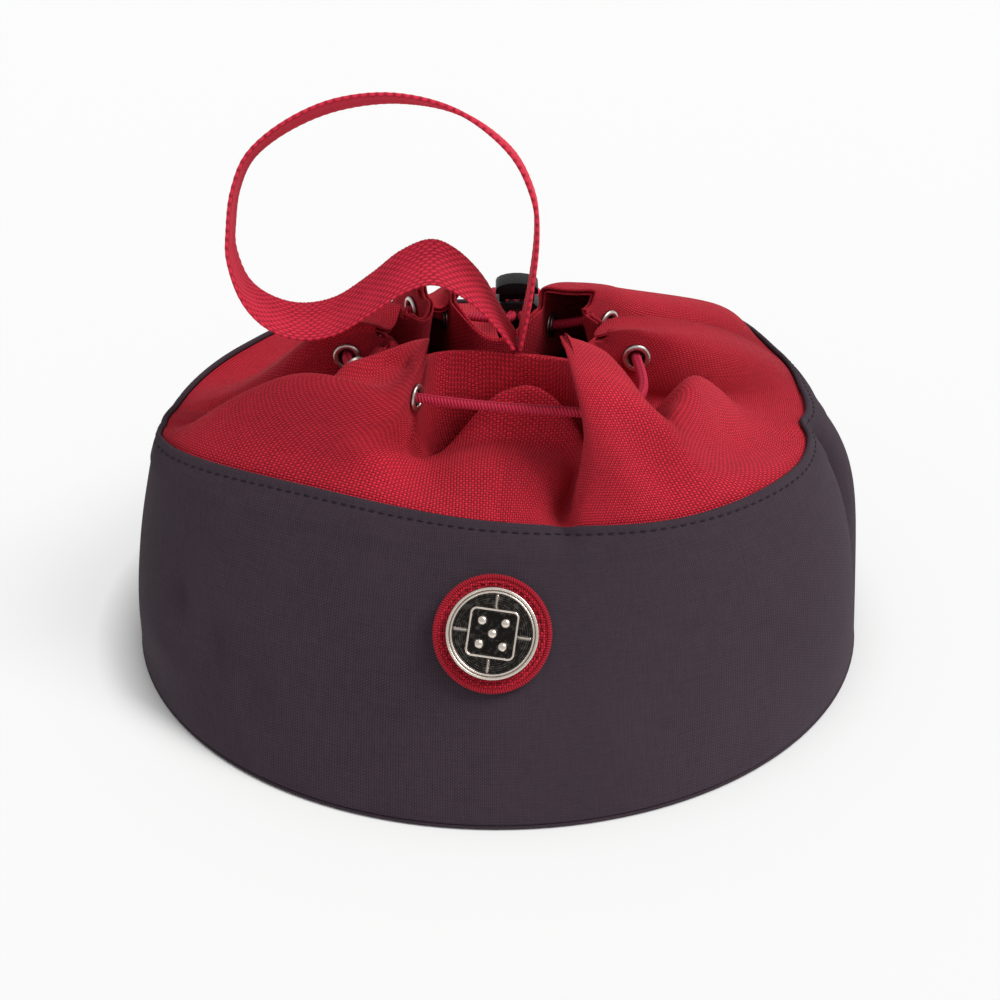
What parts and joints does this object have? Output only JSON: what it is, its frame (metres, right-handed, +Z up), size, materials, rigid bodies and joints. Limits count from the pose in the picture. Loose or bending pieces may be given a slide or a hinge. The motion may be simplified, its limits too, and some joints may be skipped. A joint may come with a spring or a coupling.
{
  "type": "drawstring dice bag",
  "caption": "Round flat-bottomed drawstring pouch with a canvas wall, a cinched canvas collar with metal eyelets, a webbing loop, a spring cord lock and a round badge.",
  "frame": {"origin": "centre of the flat base, on the surface that the bag stands on", "axes": "+Z up, -Y towards the front with the badge, +X to the viewer's right"},
  "size_m": [0.2301, 0.2649, 0.1744],
  "materials": {
    "grey_canvas": "fine matte weave",
    "red_canvas": "coarse matte plain weave",
    "black_lining": "matte lining cloth",
    "red_webbing": "ribbed webbing with a slight sheen",
    "red_cord": "braided cord with a slight sheen",
    "nickel": "antique nickel, satin",
    "antique_silver": "antique silver, polished on the raised parts",
    "steel": "plain",
    "black_plastic": "semi-gloss moulded",
    "board": "plain stiffener sheet"
  },
  "bodies": {
    "bag": {"base_panel": "grey_canvas", "base_board": "board", "lining_base": "black_lining", "wall_front": "grey_canvas", "wall_back": "grey_canvas", "collar_left": "red_canvas", "collar_right": "red_canvas", "collar_facing_left": "red_canvas", "collar_facing_right": "red_canvas", "lining_left": "black_lining", "lining_right": "black_lining", "eyelet_01": "nickel", "eyelet_02": "nickel", "eyelet_03": "nickel", "eyelet_04": "nickel", "eyelet_05": "nickel", "eyelet_06": "nickel", "eyelet_07": "nickel", "eyelet_08": "nickel", "eyelet_09": "nickel", "eyelet_10": "nickel", "eyelet_11": "nickel", "eyelet_12": "nickel", "eyelet_washer_01": "nickel", "eyelet_washer_02": "nickel", "eyelet_washer_03": "nickel", "eyelet_washer_04": "nickel", "eyelet_washer_05": "nickel", "eyelet_washer_06": "nickel", "eyelet_washer_07": "nickel", "eyelet_washer_08": "nickel", "eyelet_washer_09": "nickel", "eyelet_washer_10": "nickel", "eyelet_washer_11": "nickel", "eyelet_washer_12": "nickel", "drawstring": "red_cord", "tail_left": "red_cord", "tail_right": "red_cord", "knot_left": "red_cord", "knot_right": "red_cord", "strap_sewn_ends": "red_webbing", "badge_patch": "red_canvas", "badge": "antique_silver", "badge_back_plate": "steel"},
    "strap": {"strap": "red_webbing"},
    "lock": {"lock_barrel": "black_plastic", "lock_spring": "steel"},
    "plunger": {"lock_plunger": "black_plastic"}
  },
  "joints": [
    {"name": "strap_swing", "type": "hinge", "parent": "bag", "child": "strap", "pos_m": [0.0056, -0.012, 0.0994], "axis": [0, 1, 0], "range_deg": [0, 45]},
    {"name": "lock_slide", "type": "slide", "parent": "bag", "child": "lock", "axis": [0, 1, 0], "range_m": [0, 0.012]},
    {"name": "plunger_press", "type": "slide", "parent": "lock", "child": "plunger", "axis": [0, 0, -1], "range_m": [0, 0.0026], "stiffness_N_per_m": 600, "springref_m": -0.002, "deforming": ["lock_spring"]}
  ]
}
